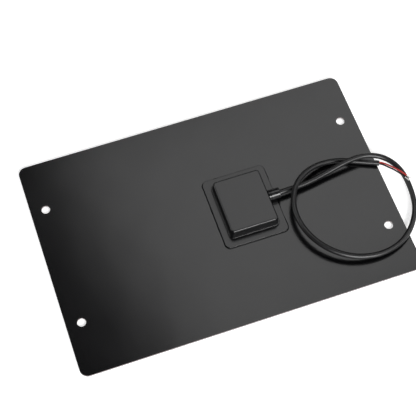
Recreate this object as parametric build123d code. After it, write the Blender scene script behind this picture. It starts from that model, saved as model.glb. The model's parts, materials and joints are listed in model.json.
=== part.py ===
"""Small photovoltaic laminate with a rear junction box and a two-core lead.

Millimetres. The origin is the centre of the sun side, which lies on the ground at z = 0.
+X runs along the long edge, towards the side where the lead leaves, and +Z points out of the rear.
"""
import math
import os

from build123d import *

# ---- allowances for clean cuts and joins inside one piece ----
cut = 1.0
sunk = 0.2

# ---- laminate ----
panel_length = 340.0
panel_width = 230.0
panel_corner = 8.0
front_sheet_t = 0.30
front_eva_t = 0.35
cell_t = 0.20
rear_eva_over_cells = 0.35
board_t = 1.20
rear_film_t = 0.10
bolt_hole_dia = 8.5
bolt_inset = 15.0
bolt_spacing_y = 125.0

# ---- cells and ribbons ----
cell_columns = 9
cell_margin_x = 26.75
cell_margin_y = 7.5
cell_corner = 1.0
cell_gap = 1.5
middle_gap = 8.0
ribbon_t = 0.15
ribbon_width = 1.5
ribbon_spacing = 26.0
ribbon_end_margin = 1.5
bus_width = 2.0
bus_gap = 1.0
lead_width = 2.5
lead_gap = 2.0
riser_inset = 2.2

# ---- junction box ----
box_x = 30.0
box_y = 2.0
flange_reach_x = 7.2
flange_reach_y = 8.5
flange_t = 1.6
flange_corner = 5.0
flange_edge_radius = 0.5
sealant_t = 0.30
sealant_width = 6.0
box_length = 50.0
box_width = 60.0
box_wall_t = 2.8
box_corner = 3.5
box_draft = 1.0
kerb_height = 2.0
kerb_width = 0.8
kerb_edge_radius = 0.5
cavity_corner = 2.0
window_length = 9.0
window_width = 14.0
window_corner = 1.0
board_slot_inset_x = 1.0
board_slot_inset_y = 1.5

# ---- lid ----
lid_t = 1.6
lid_plate_t = 1.0
lid_draft = 0.25
lid_edge_radius = 1.4
lip_t = 1.2
lip_depth = 1.7
lip_clearance = 0.15
lip_inner_corner = 0.8
lip_notch_width = 8.0
seal_width = 0.8
seal_height = 0.8
seal_clearance = 0.05

# ---- lead and its gland ----
cable_dia = 5.4
cable_hole_clearance = 0.3
cable_cover = 0.1
collar_length = 1.0
collar_clearance = 0.3
nut_wall_t = 1.15
nut_floor_gap = 0.2
nut_length = 9.3
nut_end_t = 1.4
nut_gap = 0.3
nut_edge_radius = 0.6
thread_wall_t = 1.2
thread_clearance = 0.05
thread_length = 5.1
gland_seal_t = 1.9
thrust_ring_t = 1.0
ring_gap = 0.05
ring_clearance = 0.10

# ---- terminals, diode and cable clamp ----
terminal_y = 8.0
terminal_width = 7.0
terminal_inset = 3.2
terminal_length = 18.0
terminal_corner = 1.0
terminal_t = 0.8
post_height = 1.4
post_inset = 6.5
post_length = 11.0
diode_inset = 14.0
diode_dia = 4.5
diode_length = 8.0
diode_edge_radius = 0.4
diode_wire_dia = 1.0
diode_wire_overlap = 0.8
terminal_screw_inset = 9.8
screw_shank_dia = 2.6
screw_head_dia = 5.2
screw_head_t = 1.5
screw_head_radius = 0.5
screw_depth = 2.6
screw_tip_gap = 0.2
screw_hole_clearance = 0.05
driver_slot_width = 0.8
driver_slot_depth = 0.6
clamp_inset = 3.0
clamp_length = 4.0
clamp_reach = 9.6
clamp_t = 1.0
clamp_screw_reach = 6.6
clamp_post_dia = 6.0
clamp_wing_height = 4.9
saddle_side_t = 0.6
core_dia = 1.6
core_gap = 0.1
core_straight = 3.5
core_end_gap = 2.0
bare_core_dia = 1.2
bare_core_length = 3.6
tip_length = 5.0
tip_dia = 1.3
tip_radius = 0.25

# The lead's centreline, from the cable clamp inside the box to the end of its jacket:
# out of the gland, once round in a loop, over itself, under itself and past the panel's edge.
cable_route = [
    (43.5, 2, 10), (62, 2, 10), (69, 2, 10), (95, 3.5, 8.3), (118, 8, 9.2), (140, 12, 12.2),
    (161.5, 13.5, 11.2), (179.5, 6, 8.2), (190, -11, 6.2), (190.5, -35, 5.8), (185, -59, 5.8), (166, -82, 5.9),
    (140, -91.5, 7.2), (112, -88.5, 9.8), (88.5, -74, 12.6), (73, -50, 14.6), (70, -22, 15.4),
    (82, 4, 15.5), (105, 18.5, 11), (133, 20.5, 5.4), (157, 9, 5.7), (171.9, 2.7, 5.8),
]
red_route = [(172.23, 3.48, 5.8), (175.02, 2.3, 5.8), (179.2, -3.2, 7.6), (183.8, -10.2, 9.7),
             (188, -16.5, 10.3), (190.7, -21.1, 10.3)]
black_route = [(171.57, 1.92, 5.8), (174.34, 0.72, 5.8), (178.1, -5, 7.4), (182.4, -11.4, 9.4),
               (186, -17.5, 10.2), (188.6, -22.4, 10.2)]

# ---- heights and places that follow ----
cell_z = front_sheet_t + front_eva_t
cell_top_z = cell_z + cell_t
board_z = cell_top_z + rear_eva_over_cells
film_z = board_z + board_t
rear_z = film_z + rear_film_t
flange_z = rear_z + sealant_t
floor_z = flange_z + flange_t
cable_hole_dia = cable_dia + 2 * cable_hole_clearance
thread_dia = cable_hole_dia + 2 * thread_wall_t
nut_dia = thread_dia + 2 * (thread_clearance + nut_wall_t)
cable_z = floor_z + nut_floor_gap + nut_dia / 2
wall_top_z = cable_z + cable_hole_dia / 2 + cable_cover + seal_height
lid_top_z = wall_top_z + lid_t
flange_length = box_length + 2 * flange_reach_x
flange_width = box_width + 2 * flange_reach_y
cavity_length = box_length - 2 * box_wall_t
cavity_width = box_width - 2 * box_wall_t
wall_x = box_x + box_length / 2
wall_top_x = wall_x - box_draft
collar_x = wall_top_x + collar_clearance
collar_end_x = wall_x + collar_length
nut_x = collar_end_x + nut_gap
nut_end_x = nut_x + nut_length
thread_end_x = collar_end_x + thread_length
seal_x = thread_end_x + ring_gap
thrust_ring_x = nut_end_x - nut_end_t - ring_gap - thrust_ring_t
cavity_x0 = box_x - cavity_length / 2
terminal_x0 = cavity_x0 + terminal_inset
terminal_end_x = terminal_x0 + terminal_length
terminal_z = floor_z + post_height
terminal_top_z = terminal_z + terminal_t
lead_riser_x = terminal_x0 + riser_inset
post_x0 = terminal_x0 + post_inset
diode_x = terminal_x0 + diode_inset
diode_z = terminal_top_z + diode_wire_dia / 2
terminal_screw_x = terminal_x0 + terminal_screw_inset
clamp_x0 = box_x + cavity_length / 2 - clamp_inset - clamp_length
wing_top_z = cable_z - cable_dia / 2 + clamp_wing_height
wing_z = wing_top_z - clamp_t
screw_hole_dia = screw_shank_dia + 2 * screw_hole_clearance
core_pitch = core_dia + core_gap
core_end_x = terminal_end_x + core_end_gap
core_end_z = terminal_top_z + bare_core_dia / 2
bolt_spacing_x = panel_length - 2 * bolt_inset
cells_half_x = panel_length / 2 - cell_margin_x
cell_length = (2 * cells_half_x - (cell_columns - 1) * cell_gap) / cell_columns
cell_width = (panel_width / 2 - cell_margin_y - cell_gap - middle_gap / 2) / 2
cell_pitch_x = cell_length + cell_gap
inner_row_y = (middle_gap + cell_width) / 2
outer_row_y = inner_row_y + cell_width + cell_gap
rows = {"outer_rear": outer_row_y, "inner_rear": inner_row_y,
        "inner_front": -inner_row_y, "outer_front": -outer_row_y}


def block(x0, x1, y0, y1, z0, z1):
    """A box between two corners."""
    return Pos((x0 + x1) / 2, (y0 + y1) / 2, (z0 + z1) / 2) * Box(abs(x1 - x0), abs(y1 - y0), abs(z1 - z0))


def plate(length, width, corner, z0, z1, x=0.0, y=0.0):
    """A flat plate with rounded corners."""
    outline = Pos(x, y, z0) * RectangleRounded(length, width, corner)
    return extrude(outline, amount=z1 - z0, dir=(0, 0, 1))


def cylinder_x(dia, x0, x1, y, z):
    """A cylinder along X."""
    return Pos((x0 + x1) / 2, y, z) * Rot(0, 90, 0) * Cylinder(dia / 2, x1 - x0)


def cylinder_y(dia, y0, y1, x, z):
    """A cylinder along Y."""
    return Pos(x, (y0 + y1) / 2, z) * Rot(90, 0, 0) * Cylinder(dia / 2, abs(y1 - y0))


def cylinder_z(dia, z0, z1, x, y):
    """A cylinder along Z."""
    return Pos(x, y, (z0 + z1) / 2) * Cylinder(dia / 2, z1 - z0)


def tapered(length, width, corner, inset, z0, z1):
    """A drafted block on the box's centre, narrower by inset on each side at its top."""
    low = Pos(box_x, box_y, z0) * RectangleRounded(length, width, corner)
    high = Pos(box_x, box_y, z1) * RectangleRounded(length - 2 * inset, width - 2 * inset, corner)
    return loft([low, high])


def tube(points, dia, name):
    """A round tube along straight runs joined by arcs, each as large as its runs allow."""
    line = [Vector(*p) for p in points]
    bends = [at for before, at, after in zip(line, line[1:], line[2:])
             if (at - before).get_angle(after - at) > 0.01]
    route = [line[0], *bends, line[-1]]
    radii = []
    for before, at, after in zip(route, route[1:], route[2:]):
        turn = math.radians((at - before).get_angle(after - at))
        run = min((at - before).length, (after - at).length)
        radii.append(0.45 * run / math.tan(turn / 2))
    path = FilletPolyline(*route, radius=radii)
    section = Plane(origin=path @ 0, z_dir=path % 0) * Circle(dia / 2)
    solid = sweep(section, path=path)
    ratio = solid.volume / (math.pi * dia ** 2 / 4 * path.length)
    print(name, "length", round(path.length, 1), "volume ratio", round(ratio, 4),
          "radii", [round(r, 1) for r in radii])
    return solid


def save(shape, name):
    """Write one node, or a group of separate solids, to its STEP file."""
    if isinstance(shape, (list, tuple)):
        shape = Compound(children=list(shape))
    shape.label = name
    export_step(shape, f"parts/{name}.step")
    return shape


# ---- laminate ----

def bolt_holes():
    """The four mounting holes through every layer."""
    places = [(sx * bolt_spacing_x / 2, sy * bolt_spacing_y / 2) for sx in (-1, 1) for sy in (-1, 1)]
    return [cylinder_z(bolt_hole_dia, -cut, rear_z + cut, x, y) for x, y in places]


def layer(z0, z1):
    """One full-size layer of the laminate, with the mounting holes."""
    return plate(panel_length, panel_width, panel_corner, z0, z1) - bolt_holes()


def cell_centre_x(column):
    """The centre of a column of cells."""
    return -cells_half_x + cell_length / 2 + column * cell_pitch_x


def make_cells():
    """The silicon cells, four rows of cut cells in one plane."""
    return [plate(cell_length, cell_width, cell_corner, cell_z, cell_top_z, cell_centre_x(column), y)
            for y in rows.values() for column in range(cell_columns)]


def ribbon_lines(row_y):
    """The two lines along which ribbons cross a row."""
    return (row_y - ribbon_spacing / 2, row_y + ribbon_spacing / 2)


def joining_ribbon(front_column, back_column, y):
    """From the sun side of one cell, up through the gap, to the back of its neighbour."""
    side = 1 if back_column > front_column else -1
    front_x = cell_centre_x(front_column)
    back_x = cell_centre_x(back_column)
    gap_mid = (front_x + back_x) / 2
    half = cell_length / 2 - ribbon_end_margin
    y0, y1 = y - ribbon_width / 2, y + ribbon_width / 2
    low_z, high_z = cell_z - ribbon_t, cell_top_z + ribbon_t
    low = block(front_x - side * half, gap_mid + side * ribbon_t / 2, y0, y1, low_z, cell_z)
    rise = block(gap_mid - ribbon_t / 2, gap_mid + ribbon_t / 2, y0, y1, low_z, high_z)
    high = block(gap_mid - side * ribbon_t / 2, back_x + side * half, y0, y1, cell_top_z, high_z)
    return low + rise + high


def end_ribbon(column, side, on_front, y, reach):
    """From the last cell of a row out over the bus ribbon beside it."""
    x = cell_centre_x(column)
    half = cell_length / 2 - ribbon_end_margin
    z0 = cell_z - ribbon_t if on_front else cell_top_z
    return block(x - side * half, side * (cells_half_x + reach), y - ribbon_width / 2, y + ribbon_width / 2,
                 z0, z0 + ribbon_t)


def make_cell_ribbons():
    """Ribbons that join the cells in one string, row by row."""
    inner_reach = bus_gap + bus_width
    outer_reach = 2 * inner_reach
    # each row: direction of the string, reach of its start ribbon, reach of its end ribbon
    strings = {"inner_rear": (1, inner_reach, inner_reach), "outer_rear": (-1, inner_reach, outer_reach),
               "outer_front": (1, outer_reach, inner_reach), "inner_front": (-1, inner_reach, inner_reach)}
    ribbons = []
    for row, (way, start_reach, end_reach) in strings.items():
        columns = list(range(cell_columns))[::way]
        for y in ribbon_lines(rows[row]):
            ribbons.append(end_ribbon(columns[0], -way, False, y, start_reach))
            ribbons.append(end_ribbon(columns[-1], way, True, y, end_reach))
            ribbons += [joining_ribbon(a, b, y) for a, b in zip(columns, columns[1:])]
    return ribbons


def bus_strip(side, rank, y0, y1):
    """A bus ribbon beside the ends of the rows; rank 0 is next to the cells."""
    x0 = cells_half_x + bus_gap + rank * (bus_gap + bus_width)
    return block(side * x0, side * (x0 + bus_width), y0, y1, cell_z, cell_top_z)


def make_bus_ribbons():
    """Bus ribbons that join one row to the next."""
    over = ribbon_spacing / 2 + ribbon_width
    return [bus_strip(1, 0, inner_row_y - over, outer_row_y + over),
            bus_strip(1, 0, -outer_row_y - over, -inner_row_y + over),
            bus_strip(-1, 1, -outer_row_y - over, outer_row_y + over)]


def output_ribbon(side):
    """One end of the string: down the middle gap, up through the board and onto its terminal."""
    over = ribbon_spacing / 2 + ribbon_width
    y0, y1 = side * lead_gap / 2, side * (lead_gap / 2 + lead_width)
    stub = bus_strip(-1, 0, y0, side * (inner_row_y + over))
    start_x = -(cells_half_x + bus_gap + bus_width)
    end_x = lead_riser_x + lead_width / 2
    run = block(start_x, end_x, y0, y1, cell_z, cell_top_z)
    riser = block(end_x - lead_width, end_x, y1 - side * cell_t, y1, cell_z, terminal_top_z + cell_t)
    tab = block(end_x - lead_width, end_x, y1 - side * cell_t, side * terminal_y,
                terminal_top_z, terminal_top_z + cell_t)
    return stub + run + riser + tab


def make_laminate():
    """The layers from the sun side to the rear, with pockets where the cells and ribbons lie."""
    cells = make_cells()
    ribbons = make_cell_ribbons()
    buses = make_bus_ribbons()
    outputs = [output_ribbon(1), output_ribbon(-1)]
    slot_half_x = window_length / 2 - board_slot_inset_x
    slot_half_y = window_width / 2 - board_slot_inset_y
    slot = block(lead_riser_x - slot_half_x, lead_riser_x + slot_half_x, -slot_half_y, slot_half_y,
                 board_z - cut, rear_z + cut)
    save(layer(0, front_sheet_t), "front_sheet")
    save(layer(front_sheet_t, cell_z) - ribbons, "front_encapsulant")
    save(layer(cell_z, board_z) - cells - ribbons - buses - outputs, "rear_encapsulant")
    save(layer(board_z, film_z) - slot, "backing_board")
    save(layer(film_z, rear_z) - slot, "rear_film")
    save(cells, "solar_cells")
    save(ribbons, "cell_ribbons")
    save(buses, "bus_ribbons")
    save(outputs, "output_ribbons")


# ---- junction box ----

def screw_hole(x, y, top_z):
    """A blind hole for a screw's shank."""
    return cylinder_z(screw_hole_dia, top_z - screw_depth, top_z + cut, x, y)


def clamp_screw_places():
    """The two screws of the cable clamp."""
    return [(clamp_x0 + clamp_length / 2, box_y + side * clamp_screw_reach) for side in (-1, 1)]


def make_box_base():
    """Flange, kerb, drafted walls, posts, cable saddle and the threaded spigot in one moulding."""
    flange = plate(flange_length, flange_width, flange_corner, flange_z, floor_z, box_x, box_y)
    flange = fillet(flange.edges().group_by(Axis.Z)[-1], flange_edge_radius)
    kerb = plate(box_length + 2 * kerb_width, box_width + 2 * kerb_width, box_corner + kerb_width,
                 floor_z - sunk, floor_z + kerb_height, box_x, box_y)
    kerb = fillet(kerb.edges().group_by(Axis.Z)[-1], kerb_edge_radius)
    walls = tapered(box_length, box_width, box_corner, box_draft, floor_z, wall_top_z)
    collar = cylinder_x(nut_dia, collar_x, collar_end_x, box_y, cable_z)
    spigot = cylinder_x(thread_dia, wall_top_x, thread_end_x, box_y, cable_z)
    shell = flange + kerb + walls + collar + spigot
    cavity = plate(cavity_length, cavity_width, cavity_corner, floor_z, wall_top_z + cut, box_x, box_y)
    rebate = plate(cavity_length + 2 * seal_width, cavity_width + 2 * seal_width, cavity_corner + seal_width,
                   wall_top_z - seal_height, wall_top_z + cut, box_x, box_y)
    window = plate(window_length, window_width, window_corner, flange_z - cut, floor_z + cut, lead_riser_x, 0)
    shell = shell - cavity - rebate - window
    posts = [block(post_x0, post_x0 + post_length, side * (terminal_y - terminal_width / 2),
                   side * (terminal_y + terminal_width / 2), floor_z - sunk, terminal_z) for side in (-1, 1)]
    posts += [cylinder_z(clamp_post_dia, floor_z - sunk, wing_z, x, y) for x, y in clamp_screw_places()]
    saddle_half = cable_dia / 2 + saddle_side_t
    posts.append(block(clamp_x0, clamp_x0 + clamp_length, box_y - saddle_half, box_y + saddle_half,
                       floor_z - sunk, cable_z - cable_dia / 4))
    shell = shell + posts
    cable_hole_x = wall_top_x - 2 * box_wall_t
    shell = shell - cylinder_x(cable_hole_dia, cable_hole_x, thread_end_x + cut, box_y, cable_z)
    shell = shell - cylinder_x(cable_dia, clamp_x0 - cut, clamp_x0 + clamp_length + cut, box_y, cable_z)
    shell = shell - [screw_hole(terminal_screw_x, side * terminal_y, terminal_z) for side in (-1, 1)]
    shell = shell - [screw_hole(x, y, wing_z) for x, y in clamp_screw_places()]
    return shell


def make_sealant():
    """The bead of silicone under the flange's edge."""
    outer = plate(flange_length, flange_width, flange_corner, rear_z, flange_z, box_x, box_y)
    inner = plate(flange_length - 2 * sealant_width, flange_width - 2 * sealant_width, cavity_corner,
                  rear_z - cut, flange_z + cut, box_x, box_y)
    return outer - inner


def make_lid():
    """A press-on cover: drafted plate with rounded edges and a lip that plugs into the walls."""
    length = box_length - 2 * box_draft
    width = box_width - 2 * box_draft
    cover = tapered(length, width, box_corner, lid_draft, wall_top_z, lid_top_z)
    cover = fillet(cover.edges().group_by(Axis.Z)[-1], lid_edge_radius)
    lip_length = cavity_length - 2 * lip_clearance
    lip_width = cavity_width - 2 * lip_clearance
    lip_z = wall_top_z - lip_depth
    lip = plate(lip_length, lip_width, cavity_corner - lip_clearance, lip_z, wall_top_z + sunk, box_x, box_y)
    hollow = plate(lip_length - 2 * lip_t, lip_width - 2 * lip_t, lip_inner_corner, lip_z - cut,
                   lid_top_z - lid_plate_t, box_x, box_y)
    notch = block(box_x, box_x + cavity_length / 2, box_y - lip_notch_width / 2, box_y + lip_notch_width / 2,
                  lip_z - cut, wall_top_z)
    return cover + lip - hollow - notch


def make_lid_seal():
    """The soft ring in the rebate of the walls, under the lid's rim."""
    grown = 2 * (seal_width - seal_clearance)
    seal_z = wall_top_z - seal_height
    outer = plate(cavity_length + grown, cavity_width + grown, cavity_corner + seal_width, seal_z, wall_top_z,
                  box_x, box_y)
    inner = plate(cavity_length, cavity_width, cavity_corner, seal_z - cut, wall_top_z + cut, box_x, box_y)
    return outer - inner


# ---- gland ----

def make_gland_nut():
    """The round cap nut that turns on the spigot and closes on the lead."""
    body = cylinder_x(nut_dia, nut_x, nut_end_x, box_y, cable_z)
    body = fillet(body.edges().sort_by(Axis.X)[-1], nut_edge_radius)
    bore = cylinder_x(thread_dia + 2 * thread_clearance, nut_x - cut, nut_end_x - nut_end_t, box_y, cable_z)
    return body - bore - cylinder_x(cable_hole_dia, nut_x, nut_end_x + cut, box_y, cable_z)


def gland_ring(outer_dia, inner_dia, x0, thickness):
    """A flat ring on the lead's axis."""
    return (cylinder_x(outer_dia, x0, x0 + thickness, box_y, cable_z)
            - cylinder_x(inner_dia, x0 - cut, x0 + thickness + cut, box_y, cable_z))


# ---- terminals, diode, clamp ----

def make_terminal(side):
    """A terminal plate with a hole for its screw."""
    strip = block(terminal_x0, terminal_end_x, side * (terminal_y - terminal_width / 2),
                  side * (terminal_y + terminal_width / 2), terminal_z, terminal_top_z)
    strip = fillet(strip.edges().filter_by(Axis.Z), terminal_corner)
    return strip - cylinder_z(screw_hole_dia, terminal_z - cut, terminal_top_z + cut,
                              terminal_screw_x, side * terminal_y)


def screw(x, y, seat_z, hole_top_z):
    """A slotted pan-head screw, its head on seat_z and its tip near the bottom of its hole."""
    head = cylinder_z(screw_head_dia, seat_z, seat_z + screw_head_t, x, y)
    head = fillet(head.edges().sort_by(Axis.Z)[-1], screw_head_radius)
    shank = cylinder_z(screw_shank_dia, hole_top_z - screw_depth + screw_tip_gap, seat_z + sunk, x, y)
    slot = block(x - screw_head_dia, x + screw_head_dia, y - driver_slot_width / 2, y + driver_slot_width / 2,
                 seat_z + screw_head_t - driver_slot_depth, seat_z + screw_head_t + cut)
    return head + shank - slot


def make_diode():
    """The bypass diode's moulded body."""
    body = cylinder_y(diode_dia, -diode_length / 2, diode_length / 2, diode_x, diode_z)
    return fillet(body.edges(), diode_edge_radius)


def make_diode_wires():
    """The diode's two wires, which lie on the terminals."""
    return [cylinder_y(diode_wire_dia, side * diode_length / 2, side * (terminal_y + diode_wire_overlap),
                       diode_x, diode_z) for side in (-1, 1)]


def make_clamp():
    """The bridge that holds the lead's jacket down on its saddle."""
    x0, x1 = clamp_x0, clamp_x0 + clamp_length
    wings = block(x0, x1, box_y - clamp_reach, box_y + clamp_reach, wing_z, wing_top_z)
    arch = cylinder_x(cable_dia + 2 * clamp_t, x0, x1, box_y, cable_z)
    arch = arch - block(x0 - cut, x1 + cut, box_y - cable_dia, box_y + cable_dia, cable_z - cable_dia, wing_z)
    holes = [cylinder_z(screw_hole_dia, wing_z - cut, wing_top_z + cut, x, y)
             for x, y in clamp_screw_places()]
    bridge = wings + arch - cylinder_x(cable_dia, x0 - cut, x1 + cut, box_y, cable_z)
    return bridge - holes


def inner_core(side, name):
    """A core from the jacket's end inside the box to just short of its terminal."""
    start = Vector(*cable_route[0])
    y = start.Y + side * core_pitch / 2
    route = [(start.X, y, start.Z), (start.X - core_straight, y, start.Z),
             (core_end_x + core_straight, side * terminal_y, core_end_z),
             (core_end_x, side * terminal_y, core_end_z)]
    return tube(route, core_dia, name)


def bare_core(side):
    """The stripped end of an inner core, on its terminal under the solder."""
    return cylinder_x(bare_core_dia, core_end_x - bare_core_length, core_end_x, side * terminal_y, core_end_z)


def make_tip(route):
    """The tinned end of a core, straight on from its last run."""
    last, before = Vector(*route[-1]), Vector(*route[-2])
    way = (last - before).normalized()
    tip = Solid.make_cylinder(tip_dia / 2, tip_length, Plane(origin=last, z_dir=way))
    return fillet(tip.edges().sort_by_distance(last)[-1], tip_radius)


def main():
    """Write every node."""
    os.makedirs("parts", exist_ok=True)
    make_laminate()
    save(make_sealant(), "flange_sealant")
    save(make_box_base(), "box_base")
    save(make_lid(), "box_lid")
    save(make_lid_seal(), "lid_seal")
    save(make_gland_nut(), "gland_nut")
    ring_dia = thread_dia - 2 * ring_clearance
    save(gland_ring(ring_dia, cable_dia + 2 * ring_gap, seal_x, gland_seal_t), "gland_seal")
    save(gland_ring(ring_dia, cable_hole_dia, thrust_ring_x, thrust_ring_t), "thrust_ring")
    save(make_terminal(1), "terminal_plus")
    save(make_terminal(-1), "terminal_minus")
    save([screw(terminal_screw_x, side * terminal_y, terminal_top_z, terminal_z) for side in (-1, 1)],
         "terminal_screws")
    save(make_diode(), "diode_body")
    save(make_diode_wires(), "diode_wires")
    save(make_clamp(), "cable_clamp")
    save([screw(x, y, wing_top_z, wing_z) for x, y in clamp_screw_places()], "clamp_screws")
    save(inner_core(1, "inner_core_red"), "inner_core_red")
    save(inner_core(-1, "inner_core_black"), "inner_core_black")
    save([bare_core(1), bare_core(-1)], "inner_core_ends")
    save(tube(cable_route, cable_dia, "cable"), "cable")
    save(tube(red_route, core_dia, "core_red"), "core_red")
    save(tube(black_route, core_dia, "core_black"), "core_black")
    save(make_tip(red_route), "tip_red")
    save(make_tip(black_route), "tip_black")


main()
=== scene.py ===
import json
import math

import bpy
from bpy.props import FloatProperty, FloatVectorProperty, IntProperty, PointerProperty
from mathutils import Matrix, Vector


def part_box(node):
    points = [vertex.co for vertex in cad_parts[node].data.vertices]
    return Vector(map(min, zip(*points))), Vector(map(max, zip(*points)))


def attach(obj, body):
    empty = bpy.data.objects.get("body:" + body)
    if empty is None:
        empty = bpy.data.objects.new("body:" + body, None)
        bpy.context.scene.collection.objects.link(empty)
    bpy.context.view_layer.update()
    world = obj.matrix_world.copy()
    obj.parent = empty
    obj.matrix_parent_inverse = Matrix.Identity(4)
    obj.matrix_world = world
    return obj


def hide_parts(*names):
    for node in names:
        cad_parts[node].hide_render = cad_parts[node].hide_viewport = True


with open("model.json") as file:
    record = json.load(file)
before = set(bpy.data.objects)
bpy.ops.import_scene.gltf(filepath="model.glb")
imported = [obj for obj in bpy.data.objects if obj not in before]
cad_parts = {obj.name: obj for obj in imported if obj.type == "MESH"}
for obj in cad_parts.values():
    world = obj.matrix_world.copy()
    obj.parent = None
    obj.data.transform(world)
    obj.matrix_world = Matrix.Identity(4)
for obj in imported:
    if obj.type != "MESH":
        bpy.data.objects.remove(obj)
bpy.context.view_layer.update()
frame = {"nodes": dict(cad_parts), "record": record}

bl_info = {
    "name": "Photovoltaic laminate panel",
    "version": (1, 0, 0),
    "blender": (4, 5, 0),
    "location": "View3D > Sidebar > Solar Panel",
    "description": "The rear of a small photovoltaic laminate with its junction box and two-core lead",
    "category": "Object",
}

MM = 0.001

# Control points of the lead and its cores, in metres, from the cable clamp outwards.
LEAD_ROUTE = [
    (0.0435, 0.002, 0.010), (0.062, 0.002, 0.010), (0.069, 0.002, 0.010),
    (0.095, 0.0035, 0.0083), (0.118, 0.008, 0.0092), (0.140, 0.012, 0.0122),
    (0.1615, 0.0135, 0.0112), (0.1795, 0.006, 0.0082), (0.190, -0.011, 0.0062),
    (0.1905, -0.035, 0.0058), (0.185, -0.059, 0.0058), (0.166, -0.082, 0.0059),
    (0.140, -0.0915, 0.0072), (0.112, -0.0885, 0.0098), (0.0885, -0.074, 0.0126),
    (0.073, -0.050, 0.0146), (0.070, -0.022, 0.0154), (0.082, 0.004, 0.0155),
    (0.105, 0.0185, 0.011), (0.133, 0.0205, 0.0054), (0.157, 0.009, 0.0057),
    (0.1719, 0.0027, 0.0058),
]
RED_ROUTE = [(0.17223, 0.00348, 0.0058), (0.17502, 0.0023, 0.0058), (0.1792, -0.0032, 0.0076),
             (0.1838, -0.0102, 0.0097), (0.188, -0.0165, 0.0103), (0.1907, -0.0211, 0.0103)]
BLACK_ROUTE = [(0.17157, 0.00192, 0.0058), (0.17434, 0.00072, 0.0058), (0.1781, -0.005, 0.0074),
               (0.1824, -0.0114, 0.0094), (0.186, -0.0175, 0.0102), (0.1886, -0.0224, 0.0102)]
RED_LENGTH = 0.0316
BLACK_LENGTH = 0.0306

# How far a bare end reaches back into its insulation, and how often its strands go round.
TIP_BURIED = 0.6 * MM
TIP_TURNS = 0.7

# The bead's outline: its corner radius, the steps in a corner, and its spacing along the line.
BEAD_CORNER = 5 * MM
BEAD_CORNER_STEPS = 8
BEAD_STEP = 0.6 * MM

# The stage: the floor's gap under the panel and its own light, the surroundings and the camera.
FLOOR_GAP = 0.0002
FLOOR_GLOW = 0.5
SURROUNDINGS_GLOW = 0.05
SOFT_BOX_TURN = 13
CAMERA_LENS = 102.29
CAMERA_SENSOR = 36.0
CAMERA_PLACE = (-0.17806, -0.49313, 1.02678)
CAMERA_RIGHT = (0.94507931, -0.32683864, -0.00126764)
CAMERA_DOWN = (-0.29031697, -0.83767983, -0.46261059)
CAMERA_AHEAD = (0.15013714, 0.43757171, -0.88656068)

# Size in metres, place and aim of each soft light.
SOFT_LIGHTS = {
    "soft_box": ((1.16, 0.86), (0.597, 0.805, 1.6), (0.597, 0.805, 0.0)),
    "fill": ((0.9, 0.9), (-1.4, 0.7, 1.1), (0.0, 0.0, 0.0)),
    "front": ((1.5, 0.85), (0.12, -1.78, 1.1), (0.03, 0.0, 0.0)),
    "side": ((1.4, 1.2), (1.45, -0.6, 1.3), (0.1, 0.0, 0.0)),
}


# ---- materials ----

def linear(code):
    """A colour written as sRGB hex, as linear red, green, blue and alpha."""
    parts = [int(code[i:i + 2], 16) / 255 for i in (1, 3, 5)]
    return (*[c / 12.92 if c <= 0.04045 else ((c + 0.055) / 1.055) ** 2.4 for c in parts], 1.0)


def add(tree, kind, inputs=None, **settings):
    """Add a node: settings are its attributes, inputs are values or the sockets that feed it."""
    made = tree.nodes.new(kind)
    for key, value in settings.items():
        setattr(made, key, value)
    for key, value in (inputs or {}).items():
        if isinstance(value, bpy.types.NodeSocket):
            tree.links.new(value, made.inputs[key])
        else:
            made.inputs[key].default_value = value
    return made


def start_material(name, colour, roughness, **constants):
    """A new material with its surface constants set: it, its tree, its shader and its coordinates."""
    material = bpy.data.materials.new(name)
    material.use_nodes = True
    tree = material.node_tree
    tree.nodes.clear()
    values = {"Base Color": colour, "Roughness": roughness}
    values.update({key.replace("_", " "): value for key, value in constants.items()})
    shader = add(tree, "ShaderNodeBsdfPrincipled", values)
    add(tree, "ShaderNodeOutputMaterial", {"Surface": shader.outputs["BSDF"]})
    return material, tree, shader, add(tree, "ShaderNodeTexCoord").outputs["Object"]


def tint(tree, shader, amount, dark, light):
    """Colour the surface between two tones by a pattern from 0 to 1."""
    mixed = add(tree, "ShaderNodeMix", {0: amount, 6: dark, 7: light}, data_type="RGBA")
    tree.links.new(mixed.outputs[2], shader.inputs["Base Color"])


def polish(tree, shader, amount, low, high):
    """Let the roughness run from low to high by a pattern from 0 to 1."""
    spread = add(tree, "ShaderNodeMapRange", {"Value": amount, "To Min": low, "To Max": high})
    tree.links.new(spread.outputs["Result"], shader.inputs["Roughness"])


def relief(tree, shader, height, depth, under=None):
    """Raise the surface by depth where the pattern is 1, on top of the relief under it."""
    inputs = {"Height": height, "Distance": depth, "Strength": 1.0}
    if under is not None:
        inputs["Normal"] = under
    made = add(tree, "ShaderNodeBump", inputs).outputs["Normal"]
    tree.links.new(made, shader.inputs["Normal"])
    return made


def mottle(tree, coordinates, size, detail=2.0):
    """A soft random pattern whose patches are about size across."""
    return add(tree, "ShaderNodeTexNoise",
               {"Vector": coordinates, "Scale": 1 / size, "Detail": detail}).outputs["Fac"]


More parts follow.
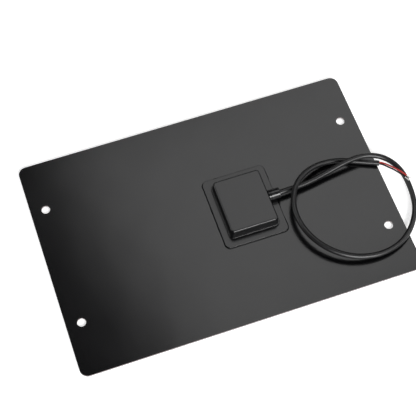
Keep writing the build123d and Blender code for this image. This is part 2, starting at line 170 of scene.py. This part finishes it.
def weave(tree, coordinates, pitch):
    """A plain weave of threads a pitch apart, as a height from 0 to 1."""
    axes = add(tree, "ShaderNodeSeparateXYZ", {"Vector": coordinates})
    waves = []
    for axis in ("X", "Y"):
        angle = add(tree, "ShaderNodeMath", {0: axes.outputs[axis], 1: math.pi / pitch},
                    operation="MULTIPLY")
        waves.append(add(tree, "ShaderNodeMath", {0: angle.outputs[0]}, operation="SINE"))
    both = add(tree, "ShaderNodeMath", {0: waves[0].outputs[0], 1: waves[1].outputs[0]},
               operation="MULTIPLY")
    height = add(tree, "ShaderNodeMath", {0: both.outputs[0], 1: 0.5, 2: 0.5}, operation="MULTIPLY_ADD")
    return height.outputs[0]


def screened_epoxy_coating(finish):
    """Screen-printed epoxy over glass cloth: satin black with wide soft reflections.

    The cloth's 0.6 mm threads are drawn 1.6 mm apart, so that they show.
    """
    material, tree, shader, where = start_material(
        "screened_epoxy_coating", (*finish.panel_black, 1.0), 0.19, IOR=1.5)
    cloud = mottle(tree, where, 40 * MM)
    polish(tree, shader, cloud, 0.17, 0.21)
    threads = weave(tree, where, 1.6 * MM)
    tint(tree, shader, threads, (*[0.4 * c for c in finish.panel_black], 1.0),
         (*[1.6 * c for c in finish.panel_black], 1.0))
    cloth = relief(tree, shader, threads, 0.016 * MM)
    relief(tree, shader, mottle(tree, where, 60 * MM, 1.0), 0.25 * MM, cloth)
    return material


def glass_fibre_laminate():
    """Pressed glass fibre and epoxy, sawn at its edge: pale, with thin darker plies along it."""
    material, tree, shader, where = start_material("glass_fibre_laminate", linear("#8d8180"), 0.6)
    axes = add(tree, "ShaderNodeSeparateXYZ", {"Vector": where})
    angle = add(tree, "ShaderNodeMath", {0: axes.outputs["Z"], 1: 2 * math.pi / (0.3 * MM)},
                operation="MULTIPLY")
    wave = add(tree, "ShaderNodeMath", {0: angle.outputs[0]}, operation="SINE")
    plies = add(tree, "ShaderNodeMath", {0: wave.outputs[0], 1: 0.5, 2: 0.5}, operation="MULTIPLY_ADD")
    grain = add(tree, "ShaderNodeMath", {0: plies.outputs[0], 1: mottle(tree, where, 0.8 * MM)},
                operation="MULTIPLY")
    tint(tree, shader, grain.outputs[0], linear("#9c8f8e"), linear("#6a5e60"))
    relief(tree, shader, grain.outputs[0], 0.02 * MM)
    return material


def embossed_clear_film():
    """Clear fluoropolymer film, embossed in the press: glossy, with a fine pebbled relief."""
    material, tree, shader, where = start_material(
        "embossed_clear_film", linear("#f4f8fa"), 0.12, Transmission_Weight=1.0, IOR=1.4)
    pebbles = add(tree, "ShaderNodeTexVoronoi", {"Vector": where, "Scale": 1 / (1.2 * MM)})
    relief(tree, shader, pebbles.outputs["Distance"], 0.03 * MM)
    return material


def cured_encapsulant():
    """Cured clear EVA: all but invisible, faintly cloudy at its cut edge."""
    material, tree, shader, where = start_material(
        "cured_encapsulant", linear("#eef1f2"), 0.4, IOR=1.49, Alpha=0.06)
    relief(tree, shader, mottle(tree, where, 3 * MM), 0.01 * MM)
    return material


def coated_silicon():
    """Silicon with an anti-reflection coat: near black with a blue cast, each cell a little different.

    The printed silver fingers are 0.1 mm wide and are drawn 0.2 mm wide, so that they show.
    """
    material, tree, shader, where = start_material("coated_silicon", linear("#0d1526"), 0.3, IOR=1.5)
    axes = add(tree, "ShaderNodeSeparateXYZ", {"Vector": where})
    along = add(tree, "ShaderNodeMath", {0: axes.outputs["X"], 1: 1 / (1.9 * MM)}, operation="MULTIPLY")
    part = add(tree, "ShaderNodeMath", {0: along.outputs[0]}, operation="FRACT")
    finger = add(tree, "ShaderNodeMath", {0: part.outputs[0], 1: 0.11}, operation="LESS_THAN")
    shifted = add(tree, "ShaderNodeVectorMath", {0: where, 1: (16 * MM, 0.0, 0.0)}, operation="ADD")
    step = add(tree, "ShaderNodeVectorMath", {0: shifted.outputs[0], 1: (32 * MM, 55.75 * MM, 1.0)},
               operation="SNAP")
    chance = add(tree, "ShaderNodeTexWhiteNoise", {"Vector": step.outputs[0]}, noise_dimensions="3D")
    blue = add(tree, "ShaderNodeMix", {
        0: chance.outputs["Value"], 6: linear("#0a1020"), 7: linear("#141f38")}, data_type="RGBA")
    tint(tree, shader, finger.outputs[0], blue.outputs[2], linear("#8d9299"))
    polish(tree, shader, finger.outputs[0], 0.28, 0.5)
    relief(tree, shader, finger.outputs[0], 0.02 * MM)
    return material


def tinned_copper():
    """Hot-tinned copper: bright and a little uneven, as solder freezes on it."""
    material, tree, shader, where = start_material("tinned_copper", linear("#f1f0ed"), 0.35, Metallic=0.7)
    flow = mottle(tree, where, 1.5 * MM, 3.0)
    tint(tree, shader, flow, linear("#e2e0dc"), linear("#fbfaf8"))
    polish(tree, shader, flow, 0.22, 0.42)
    relief(tree, shader, flow, 0.04 * MM)
    return material


def silicone_sealant():
    """Squeezed-out silicone, smoothed by a finger: soft black with a wet-looking skin."""
    material, tree, shader, where = start_material(
        "silicone_sealant", linear("#060607"), 0.5, IOR=1.4, Specular_IOR_Level=0.25)
    lumps = mottle(tree, where, 2.5 * MM, 3.0)
    polish(tree, shader, lumps, 0.45, 0.62)
    relief(tree, shader, lumps, 0.15 * MM)
    return material


def spark_grained_plastic(finish):
    """Moulded modified PPO from a spark-eroded mould: charcoal black with a fine even grain.

    The 0.15 mm grain is drawn 0.5 mm wide, so that it shows.
    """
    material, tree, shader, where = start_material(
        "spark_grained_plastic", (*finish.box_black, 1.0), 0.24, IOR=1.5)
    grain = mottle(tree, where, 0.5 * MM, 3.0)
    polish(tree, shader, grain, 0.2, 0.28)
    fine = relief(tree, shader, grain, 0.008 * MM)
    relief(tree, shader, mottle(tree, where, 16 * MM, 1.0), 0.05 * MM, fine)
    return material


def soft_rubber():
    """Moulded silicone rubber: matt black with a dusty bloom."""
    material, tree, shader, where = start_material("soft_rubber", linear("#161616"), 0.7, IOR=1.45)
    bloom = mottle(tree, where, 1.2 * MM)
    tint(tree, shader, bloom, linear("#111112"), linear("#202021"))
    relief(tree, shader, bloom, 0.03 * MM)
    return material


def polished_nylon():
    """Moulded nylon from a polished mould: smooth black with a clear highlight and faint flow marks."""
    material, tree, shader, where = start_material("polished_nylon", linear("#101011"), 0.24, IOR=1.53)
    flow = mottle(tree, where, 4 * MM)
    polish(tree, shader, flow, 0.2, 0.3)
    relief(tree, shader, flow, 0.04 * MM)
    return material


def tin_plated_brass():
    """Stamped brass strip with tin plate: warm silver with fine rolling lines along it."""
    material, tree, shader, where = start_material("tin_plated_brass", linear("#cbc3ae"), 0.28, Metallic=1.0)
    drawn = add(tree, "ShaderNodeMapping", {"Vector": where, "Scale": (0.05, 1.0, 1.0)})
    lines = mottle(tree, drawn.outputs["Vector"], 0.3 * MM, 3.0)
    tint(tree, shader, lines, linear("#b9b09a"), linear("#d8d1bf"))
    polish(tree, shader, lines, 0.2, 0.38)
    relief(tree, shader, lines, 0.01 * MM)
    return material


def zinc_plated_steel():
    """Cold-headed steel with clear zinc plate: cool grey metal with small bright flecks."""
    material, tree, shader, where = start_material("zinc_plated_steel", linear("#b4b9bf"), 0.3, Metallic=1.0)
    flecks = add(tree, "ShaderNodeTexVoronoi", {"Vector": where, "Scale": 1 / (0.5 * MM)}).outputs["Distance"]
    tint(tree, shader, flecks, linear("#a4a9b0"), linear("#c9ced4"))
    polish(tree, shader, flecks, 0.24, 0.4)
    relief(tree, shader, flecks, 0.01 * MM)
    return material


def moulded_epoxy():
    """Transfer-moulded epoxy: matt black, with a pale printed band at one end."""
    material, tree, shader, where = start_material("moulded_epoxy", linear("#121212"), 0.55, IOR=1.55)
    axes = add(tree, "ShaderNodeSeparateXYZ", {"Vector": where})
    off = add(tree, "ShaderNodeMath", {0: axes.outputs["Y"], 1: 2.7 * MM}, operation="SUBTRACT")
    far = add(tree, "ShaderNodeMath", {0: off.outputs[0]}, operation="ABSOLUTE")
    band = add(tree, "ShaderNodeMath", {0: far.outputs[0], 1: 0.5 * MM}, operation="LESS_THAN")
    tint(tree, shader, band.outputs[0], linear("#121212"), linear("#b9b9b6"))
    relief(tree, shader, mottle(tree, where, 0.3 * MM), 0.01 * MM)
    return material


def extruded_pvc(name, colour, gloss):
    """Extruded PVC: satin, with a faint orange peel and slow waves from the die."""
    material, tree, shader, where = start_material(name, colour, gloss, IOR=1.52)
    peel = mottle(tree, where, 1.1 * MM)
    polish(tree, shader, mottle(tree, where, 9 * MM), gloss - 0.05, gloss + 0.06)
    fine = relief(tree, shader, peel, 0.02 * MM)
    relief(tree, shader, mottle(tree, where, 7 * MM, 1.0), 0.16 * MM, fine)
    return material


MATERIALS = {}


def make_materials(finish):
    """Every finish, by the name of the slot that it fills."""
    jacket = extruded_pvc("jacket_pvc", (*finish.jacket_black, 1.0), 0.36)
    red = extruded_pvc("red_pvc", (*finish.core_red, 1.0), 0.36)
    black = extruded_pvc("black_pvc", linear("#0f0f10"), 0.36)
    MATERIALS.update({
        "front_film": embossed_clear_film(), "encapsulant": cured_encapsulant(),
        "silicon": coated_silicon(), "tinned_copper": tinned_copper(),
        "glass_fibre_board": glass_fibre_laminate(), "rear_coating": screened_epoxy_coating(finish),
        "silicone": silicone_sealant(), "box_plastic": spark_grained_plastic(finish),
        "seal_rubber": soft_rubber(), "gland_plastic": polished_nylon(),
        "terminal_metal": tin_plated_brass(), "screw_steel": zinc_plated_steel(),
        "diode_epoxy": moulded_epoxy(), "cable_jacket": jacket,
        "red_insulation": red, "black_insulation": black,
    })


def finish_nodes(*names):
    """Give CAD nodes the finish of their own material slot."""
    slots = {part["node"]: part["material_slot"] for part in frame["record"]["subparts"]}
    for name in names:
        for holder in frame["nodes"][name].material_slots:
            holder.material = MATERIALS[slots[name]]


# ---- shapes ----

def place(name, data, slot):
    """A new object that rides on the panel and takes its finish from a slot."""
    piece = bpy.data.objects.new(name, data)
    bpy.context.scene.collection.objects.link(piece)
    if not data.materials:
        data.materials.append(MATERIALS[slot])
    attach(piece, "root")
    return piece


def round_cord(name, points, diameter, slot):
    """A round cord whose smooth line has the route's points as its control points."""
    curve = bpy.data.curves.new(name, "CURVE")
    curve.dimensions = "3D"
    spline = curve.splines.new("NURBS")
    spline.points.add(len(points) - 1)
    for control, point in zip(spline.points, points):
        control.co = (*point, 1.0)
    spline.order_u = 3
    spline.use_endpoint_u = True
    spline.resolution_u = 14
    curve.bevel_depth = diameter / 2
    curve.bevel_resolution = 6
    curve.use_fill_caps = True
    curve.materials.append(MATERIALS[slot])
    return place(name, curve, slot)


def node_tree(name, sockets):
    """A Geometry Nodes tree with named inputs: returns the tree, its group input and its output node."""
    tree = bpy.data.node_groups.new(name, "GeometryNodeTree")
    tree.interface.new_socket("Geometry", in_out="INPUT", socket_type="NodeSocketGeometry")
    tree.interface.new_socket("Geometry", in_out="OUTPUT", socket_type="NodeSocketGeometry")
    for label, kind in sockets:
        tree.interface.new_socket(label, in_out="INPUT", socket_type=kind)
    return tree, add(tree, "NodeGroupInput").outputs, add(tree, "NodeGroupOutput")


def baked(name, base, tree, values, slot, move=None):
    """The plain mesh that a tree makes of a base object, with the tree's inputs set by name."""
    modifier = base.modifiers.new(name, "NODES")
    modifier.node_group = tree
    for item in tree.interface.items_tree:
        if item.in_out == "INPUT" and item.name in values:
            modifier[item.identifier] = values[item.name]
    bpy.context.view_layer.update()
    ready = base.evaluated_get(bpy.context.evaluated_depsgraph_get())
    mesh = bpy.data.meshes.new_from_object(ready)
    mesh.name = name
    if move is not None:
        mesh.transform(move)
    bpy.data.objects.remove(base, do_unlink=True)
    return place(name, mesh, slot)


def strand_tree():
    """Strands twisted round one in the middle, along +Z from the origin."""
    tree, given, output = node_tree("twisted_strands", [
        ("Strands", "NodeSocketInt"), ("Strand Radius", "NodeSocketFloat"), ("Length", "NodeSocketFloat"),
        ("Turns", "NodeSocketFloat"), ("Material", "NodeSocketMaterial")])
    section = add(tree, "GeometryNodeCurvePrimitiveCircle", {
        "Resolution": 10, "Radius": given["Strand Radius"]})
    lay = add(tree, "ShaderNodeMath", {0: given["Strand Radius"], 1: 2.0}, operation="MULTIPLY")
    helix = add(tree, "GeometryNodeCurveSpiral", {
        "Resolution": 24, "Rotations": given["Turns"], "Start Radius": lay.outputs[0],
        "End Radius": lay.outputs[0], "Height": given["Length"]})
    strand = add(tree, "GeometryNodeCurveToMesh", {
        "Curve": helix.outputs[0], "Profile Curve": section.outputs["Curve"], "Fill Caps": True})
    starts = add(tree, "GeometryNodePoints", {"Count": given["Strands"], "Radius": 0.0})
    share = add(tree, "ShaderNodeMath", {0: 2 * math.pi, 1: given["Strands"]}, operation="DIVIDE")
    number = add(tree, "GeometryNodeInputIndex")
    turn = add(tree, "ShaderNodeMath", {0: number.outputs[0], 1: share.outputs[0]}, operation="MULTIPLY")
    about = add(tree, "ShaderNodeCombineXYZ", {"Z": turn.outputs[0]})
    ring = add(tree, "GeometryNodeInstanceOnPoints", {
        "Points": starts.outputs[0], "Instance": strand.outputs[0], "Rotation": about.outputs[0]})
    end = add(tree, "ShaderNodeCombineXYZ", {"Z": given["Length"]})
    axis = add(tree, "GeometryNodeCurvePrimitiveLine", {"End": end.outputs[0]})
    middle = add(tree, "GeometryNodeCurveToMesh", {
        "Curve": axis.outputs[0], "Profile Curve": section.outputs["Curve"], "Fill Caps": True})
    both = add(tree, "GeometryNodeJoinGeometry")
    tree.links.new(middle.outputs[0], both.inputs[0])
    tree.links.new(ring.outputs[0], both.inputs[0])
    real = add(tree, "GeometryNodeRealizeInstances", {0: both.outputs[0]})
    smooth = add(tree, "GeometryNodeSetShadeSmooth", {0: real.outputs[0]})
    painted = add(tree, "GeometryNodeSetMaterial", {
        "Geometry": smooth.outputs[0], "Material": given["Material"]})
    tree.links.new(painted.outputs[0], output.inputs[0])
    return tree


def bead_tree():
    """A bead that follows an outline, thicker in some places than in others."""
    tree, given, output = node_tree("sealant_bead", [
        ("Thin", "NodeSocketFloat"), ("Thick", "NodeSocketFloat"), ("Lump Size", "NodeSocketFloat"),
        ("Seed", "NodeSocketFloat"), ("Material", "NodeSocketMaterial")])
    even = add(tree, "GeometryNodeResampleCurve", {"Curve": given["Geometry"], "Length": BEAD_STEP},
               mode="LENGTH")
    where = add(tree, "GeometryNodeInputPosition")
    size = add(tree, "ShaderNodeMath", {0: 1.0, 1: given["Lump Size"]}, operation="DIVIDE")
    lumps = add(tree, "ShaderNodeTexNoise", {
        "Vector": where.outputs[0], "W": given["Seed"], "Scale": size.outputs[0], "Detail": 3.0,
        "Roughness": 0.6}, noise_dimensions="4D")
    width = add(tree, "ShaderNodeMapRange", {
        "Value": lumps.outputs["Fac"], "From Min": 0.35, "From Max": 0.7,
        "To Min": given["Thin"], "To Max": given["Thick"]})
    section = add(tree, "GeometryNodeCurvePrimitiveCircle", {"Resolution": 12, "Radius": 1.0})
    swept = add(tree, "GeometryNodeCurveToMesh", {
        "Curve": even.outputs[0], "Profile Curve": section.outputs["Curve"],
        "Scale": width.outputs["Result"]})
    smooth = add(tree, "GeometryNodeSetShadeSmooth", {0: swept.outputs[0]})
    real = add(tree, "GeometryNodeRealizeInstances", {0: smooth.outputs[0]})
    painted = add(tree, "GeometryNodeSetMaterial", {
        "Geometry": real.outputs[0], "Material": given["Material"]})
    tree.links.new(painted.outputs[0], output.inputs[0])
    return tree


# ---- settings ----

class LeadSettings(bpy.types.PropertyGroup):
    """Sizes of the lead."""
    cable_diameter: FloatProperty(name="Lead diameter", description="Across the jacket",
                                  default=0.0054, unit="LENGTH")
    core_diameter: FloatProperty(name="Core diameter", description="Across a core's insulation",
                                 default=0.0016, unit="LENGTH")
    strands: IntProperty(name="Strands", description="Strands round the middle one in a core's bare end",
                         default=6, min=3)
    strand_radius: FloatProperty(name="Strand radius", description="Radius of one strand",
                                 default=0.00021, unit="LENGTH", precision=5)
    bare_length: FloatProperty(name="Bare length", description="Length of a core's tinned end",
                               default=0.005, unit="LENGTH")


class SealantSettings(bpy.types.PropertyGroup):
    """Sizes of the bead round the junction box."""
    thin: FloatProperty(name="Thin", description="Bead radius where it is thinnest",
                        default=0.0004, unit="LENGTH", precision=5)
    thick: FloatProperty(name="Thick", description="Bead radius where it is thickest",
                         default=0.00095, unit="LENGTH", precision=5)
    lump_size: FloatProperty(name="Lump size", description="Distance from one thick place to the next",
                             default=0.007, unit="LENGTH")
    seed: IntProperty(name="Seed", description="Which of the random beads is laid", default=4)


class FinishSettings(bpy.types.PropertyGroup):
    """Main colours, linear."""
    panel_black: FloatVectorProperty(name="Coating", description="Colour of the rear coating",
                                     subtype="COLOR", default=linear("#060607")[:3], min=0, max=1)
    box_black: FloatVectorProperty(name="Box", description="Colour of the junction box", subtype="COLOR",
                                   default=linear("#0d0d0e")[:3], min=0, max=1)
    jacket_black: FloatVectorProperty(name="Jacket", description="Colour of the lead's jacket",
                                      subtype="COLOR", default=linear("#0d0d0e")[:3], min=0, max=1)
    core_red: FloatVectorProperty(name="Red core", description="Colour of the red core", subtype="COLOR",
                                  default=linear("#aa2820")[:3], min=0, max=1)


class StageSettings(bpy.types.PropertyGroup):
    """Floor and lights."""
    floor_size: FloatProperty(name="Floor", description="Side of the square floor",
                              default=8.0, unit="LENGTH")
    key_power: FloatProperty(name="Soft box", description="Power of the light overhead, behind the panel",
                             default=6.1, unit="POWER")
    fill_power: FloatProperty(name="Fill", description="Power of the light on the far left",
                              default=7.0, unit="POWER")
    front_power: FloatProperty(name="Front", description="Power of the wide light in front",
                               default=60.0, unit="POWER")
    side_power: FloatProperty(name="Side", description="Power of the wide light on the right",
                              default=12.0, unit="POWER")


# ---- operators ----

class SOLAR_PANEL_OT_laminate(bpy.types.Operator):
    """Finish the board's layers, its cells and their ribbons"""
    bl_idname = "solar_panel.laminate"
    bl_label = "Laminate"

    def execute(self, context):
        make_materials(context.scene.panel_finish)
        finish_nodes("front_sheet", "front_encapsulant", "rear_encapsulant", "solar_cells", "cell_ribbons",
                     "bus_ribbons", "output_ribbons", "backing_board", "rear_film")
        return {"FINISHED"}


class SOLAR_PANEL_OT_junction_box(bpy.types.Operator):
    """Finish the junction box, its lid, gland and what is inside"""
    bl_idname = "solar_panel.junction_box"
    bl_label = "Junction Box"

    def execute(self, context):
        finish_nodes("box_base", "box_lid", "lid_seal", "gland_nut", "gland_seal", "thrust_ring",
                     "terminal_plus", "terminal_minus", "terminal_screws", "diode_body", "diode_wires",
                     "cable_clamp", "clamp_screws", "inner_core_red", "inner_core_black", "inner_core_ends",
                     "flange_sealant")
        return {"FINISHED"}


class SOLAR_PANEL_OT_sealant(bpy.types.Operator):
    """Lay the bead that was squeezed out from under the box's flange"""
    bl_idname = "solar_panel.sealant"
    bl_label = "Sealant"

    def execute(self, context):
        sizes = context.scene.panel_sealant
        low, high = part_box("flange_sealant")
        curve = bpy.data.curves.new("bead_outline", "CURVE")
        curve.dimensions = "3D"
        spline = curve.splines.new("POLY")
        outline = []
        corners = ((high.x, high.y), (low.x, high.y), (low.x, low.y), (high.x, low.y))
        for quarter, (x, y) in enumerate(corners):
            centre_x = x - math.copysign(BEAD_CORNER, x - (low.x + high.x) / 2)
            centre_y = y - math.copysign(BEAD_CORNER, y - (low.y + high.y) / 2)
            for step in range(BEAD_CORNER_STEPS + 1):
                angle = math.radians(90 * (quarter + step / BEAD_CORNER_STEPS))
                outline.append((centre_x + BEAD_CORNER * math.cos(angle),
                                centre_y + BEAD_CORNER * math.sin(angle), low.z))
        spline.points.add(len(outline) - 1)
        for control, point in zip(spline.points, outline):
            control.co = (*point, 1.0)
        spline.use_cyclic_u = True
        base = bpy.data.objects.new("bead_outline", curve)
        context.scene.collection.objects.link(base)
        baked("sealant_bead", base, bead_tree(), {
            "Thin": sizes.thin, "Thick": sizes.thick, "Lump Size": sizes.lump_size,
            "Seed": float(sizes.seed), "Material": MATERIALS["silicone"]}, "silicone")
        return {"FINISHED"}


class SOLAR_PANEL_OT_lead(bpy.types.Operator):
    """Lay the lead and its two cores, with their twisted bare ends"""
    bl_idname = "solar_panel.lead"
    bl_label = "Lead"

    def execute(self, context):
        sizes = context.scene.panel_lead
        lead = round_cord("lead", LEAD_ROUTE, sizes.cable_diameter, "cable_jacket")
        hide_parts("cable")
        strands = strand_tree()
        for colour, route, length in (("red", RED_ROUTE, RED_LENGTH), ("black", BLACK_ROUTE, BLACK_LENGTH)):
            core = round_cord(f"{colour}_core", route, sizes.core_diameter, f"{colour}_insulation")
            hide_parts(f"core_{colour}")
            end, before = Vector(route[-1]), Vector(route[-2])
            way = (end - before).normalized()
            base = bpy.data.objects.new("strands", bpy.data.meshes.new("strands"))
            context.scene.collection.objects.link(base)
            turn = way.to_track_quat("Z", "Y").to_matrix().to_4x4()
            move = Matrix.Translation(end - way * TIP_BURIED) @ turn
            tip = baked(f"{colour}_strands", base, strands, {
                "Strands": sizes.strands, "Strand Radius": sizes.strand_radius,
                "Length": sizes.bare_length + TIP_BURIED, "Turns": TIP_TURNS,
                "Material": MATERIALS["tinned_copper"]}, "tinned_copper", move)
            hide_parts(f"tip_{colour}")
        return {"FINISHED"}


def soft_light(name, power):
    """One of the soft lights: a rectangular area light that faces a point."""
    (size_x, size_y), location, target = SOFT_LIGHTS[name]
    light = bpy.data.lights.new(name, "AREA")
    light.shape = "RECTANGLE"
    light.energy = power
    light.size, light.size_y = size_x, size_y
    lamp = bpy.data.objects.new(name, light)
    lamp.location = location
    lamp.rotation_euler = (Vector(target) - Vector(location)).to_track_quat("-Z", "Y").to_euler()
    bpy.context.scene.collection.objects.link(lamp)
    return lamp


class SOLAR_PANEL_OT_stage(bpy.types.Operator):
    """Put up the pale floor, the soft lights and the camera"""
    bl_idname = "solar_panel.stage"
    bl_label = "Stage"

    def execute(self, context):
        scene = context.scene
        sizes = scene.panel_stage
        half = sizes.floor_size / 2
        mesh = bpy.data.meshes.new("floor")
        corners = ((-half, -half), (half, -half), (half, half), (-half, half))
        mesh.from_pydata([(x, y, -FLOOR_GAP) for x, y in corners], [], [(0, 1, 2, 3)])
        material, _, shader, _ = start_material("pale_floor", linear("#f2f2f2"), 0.8)
        shader.inputs["Emission Color"].default_value = linear("#ffffff")
        shader.inputs["Emission Strength"].default_value = FLOOR_GLOW
        mesh.materials.append(material)
        floor = bpy.data.objects.new("floor", mesh)
        scene.collection.objects.link(floor)

        key = soft_light("soft_box", sizes.key_power)
        key.rotation_euler.z += math.radians(SOFT_BOX_TURN)
        soft_light("fill", sizes.fill_power)
        soft_light("front", sizes.front_power)
        soft_light("side", sizes.side_power)

        world = bpy.data.worlds.new("studio")
        world.use_nodes = True
        surroundings = world.node_tree.nodes["Background"]
        surroundings.inputs["Color"].default_value = linear("#d8dadd")
        surroundings.inputs["Strength"].default_value = SURROUNDINGS_GLOW
        scene.world = world
        scene.view_settings.view_transform = "Standard"

        camera = bpy.data.cameras.new("camera")
        camera.lens = CAMERA_LENS
        camera.sensor_width = CAMERA_SENSOR
        viewer = bpy.data.objects.new("camera", camera)
        turn = Matrix((Vector(CAMERA_RIGHT), -Vector(CAMERA_DOWN), -Vector(CAMERA_AHEAD))).transposed()
        viewer.matrix_world = Matrix.Translation(CAMERA_PLACE) @ turn.to_4x4()
        scene.collection.objects.link(viewer)
        scene.camera = viewer
        return {"FINISHED"}


OPERATORS = (SOLAR_PANEL_OT_laminate, SOLAR_PANEL_OT_junction_box, SOLAR_PANEL_OT_sealant,
             SOLAR_PANEL_OT_lead, SOLAR_PANEL_OT_stage)
SETTINGS = {"panel_finish": FinishSettings, "panel_sealant": SealantSettings, "panel_lead": LeadSettings,
            "panel_stage": StageSettings}


class SOLAR_PANEL_PT_sidebar(bpy.types.Panel):
    """Settings and pieces of the photovoltaic panel"""
    bl_idname = "SOLAR_PANEL_PT_sidebar"
    bl_label = "Solar Panel"
    bl_space_type = "VIEW_3D"
    bl_region_type = "UI"
    bl_category = "Solar Panel"

    def draw(self, context):
        for name, group in SETTINGS.items():
            box = self.layout.box()
            for field in group.__annotations__:
                box.prop(getattr(context.scene, name), field)
        for operator in OPERATORS:
            self.layout.operator(operator.bl_idname)


def register():
    """Register the settings, the operators and the panel."""
    for group in SETTINGS.values():
        bpy.utils.register_class(group)
    for name, group in SETTINGS.items():
        setattr(bpy.types.Scene, name, PointerProperty(type=group))
    for made in (*OPERATORS, SOLAR_PANEL_PT_sidebar):
        bpy.utils.register_class(made)


def unregister():
    """Take away what register added."""
    for made in reversed((*OPERATORS, SOLAR_PANEL_PT_sidebar)):
        bpy.utils.unregister_class(made)
    for name, group in SETTINGS.items():
        delattr(bpy.types.Scene, name)
        bpy.utils.unregister_class(group)


def main():
    """Build every piece."""
    register()
    bpy.ops.solar_panel.laminate()
    bpy.ops.solar_panel.junction_box()
    bpy.ops.solar_panel.sealant()
    bpy.ops.solar_panel.lead()
    bpy.ops.solar_panel.stage()


if __name__ == "__main__":
    main()
